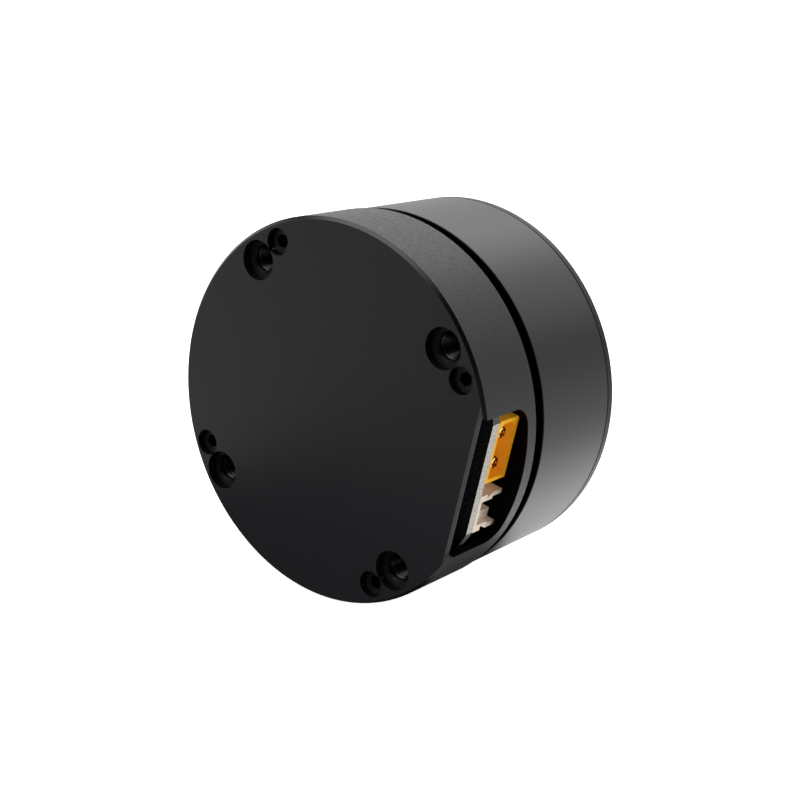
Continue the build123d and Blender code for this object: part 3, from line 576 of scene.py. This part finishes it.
# Stator core: stamped silicon steel with a coat of varnish, its edges faintly striped by the laminations.
lamination_pitch = 0.00035
stamped = new_finish("varnished_laminations", (0.16, 0.165, 0.18), 0.42, metal=0.8)
roughen(stamped, noise_of(stamped, lamination_pitch, 1.0, stretch=(0.05, 1, 0.05)), 0.00003, 0.6)
dress(stamped, "stator_core")

# End insulators and ball cages: nylon with glass fibre, natural colour.
insulator = new_finish("natural_nylon", (0.55, 0.49, 0.36), 0.55)
vary(insulator, noise_of(insulator, 0.001, 4.0), "Base Color", (0.48, 0.42, 0.30), (0.62, 0.56, 0.43))
dress(insulator, "rear_insulator", "front_insulator", "rear_bearing_cage", "front_bearing_cage")

# Coils and phase leads: enamelled copper wire, wound in layers round each tooth.
wire_size = 0.0005
enamel = new_finish("enamelled_copper", (0.50, 0.19, 0.07), 0.3, metal=0.85)
roughen(enamel, noise_of(enamel, wire_size, 1.0, stretch=(1, 0.2, 1)), 0.0001, 0.8)
dress(enamel, "stator_coils", "phase_leads")

# Bearings and shaft: chrome steel, hardened and ground.
ground = new_finish("ground_steel", (0.62, 0.62, 0.63), 0.22, metal=1.0)
vary(ground, noise_of(ground, 0.0004, 3.0, stretch=(0.2, 3, 0.2)), "Roughness", 0.16, 0.32)
dress(ground, "rear_bearing_outer_ring", "rear_bearing_inner_ring", "rear_bearing_shields", "rear_bearing_balls",
      "front_bearing_outer_ring", "front_bearing_inner_ring", "front_bearing_shields", "front_bearing_balls",
      "rotor_shaft")

# Magnets: sintered blocks with nickel plate.
nickel = new_finish("nickel_plate", (0.55, 0.54, 0.52), 0.25, metal=1.0)
vary(nickel, noise_of(nickel, 0.0008, 4.0), "Roughness", 0.18, 0.36)
dress(nickel, "rotor_magnets", "encoder_magnet")

# Rotor yoke: a ring turned from steel and plated black, smoother than the housing beside it.
# Its rear edge, down in the running gap, is painted near black as painted shade.
satin = new_finish("satin_black_plate", (0.014, 0.014, 0.015), 0.34)
wall_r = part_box("rotor_yoke")[1][0]
yoke_edge_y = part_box("rotor_yoke")[0][1] + 0.00012
vary(satin, noise_of(satin, 0.00018, 2.0), "Roughness", 0.30, 0.40)
vary(satin, noise_of(satin, 0.00018, 2.0), "Base Color", (0.010, 0.010, 0.011), (0.018, 0.018, 0.019))
# Painted shade on the rear edge in the running gap.
paint_shade_past(satin, yoke_edge_y, rearward=True)
true_round(satin, wall_r)
roughen(satin, noise_of(satin, 0.0001, 2.0), 0.000004, 0.3)
dress(satin, "rotor_yoke")

# Front cover: turned aluminium, anodised black, a shade bluer than the yoke.
cover_black = new_finish("satin_black_anodising", (0.011, 0.0125, 0.016), 0.38, shine=0.34)
true_round(cover_black, wall_r)
cover_black.node_tree.nodes["Principled BSDF"].inputs["Specular Tint"].default_value = (0.86, 0.94, 1.0, 1)
vary(cover_black, noise_of(cover_black, 0.00018, 2.0), "Roughness", 0.33, 0.43)
roughen(cover_black, noise_of(cover_black, 0.0001, 2.0), 0.000004, 0.3)
dress(cover_black, "front_cover")

# Bead of black retaining compound in the seam between yoke and cover, wiped off level with the wall.
seam_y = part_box("rotor_yoke")[1][1]
seam_half = 0.00019
bead_steps = 360
bead_profile = (
    (wall_r - 0.00018, 0.0),
    (wall_r - 0.00005, -seam_half),
    (wall_r - 0.00005, seam_half),
)
bead_points, bead_faces = [], []
for k in range(bead_steps):
    angle = 2 * pi * k / bead_steps
    for radius, rise in bead_profile:
        bead_points.append((radius * cos(angle), seam_y + rise, radius * sin(angle)))
    for j in range(3):
        near, far = 3 * k, 3 * ((k + 1) % bead_steps)
        bead_faces.append((near + j, near + (j + 1) % 3, far + (j + 1) % 3, far + j))
bead = make_mesh("seam_bead", bead_points, bead_faces)
compound = new_finish("retaining_compound", (0.004, 0.004, 0.0045), 0.6, shine=0.2)
roughen(compound, noise_of(compound, 0.0004, 2.0), 0.00001, 0.3)
bead.data.materials.append(compound)
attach(bead, "rotor")
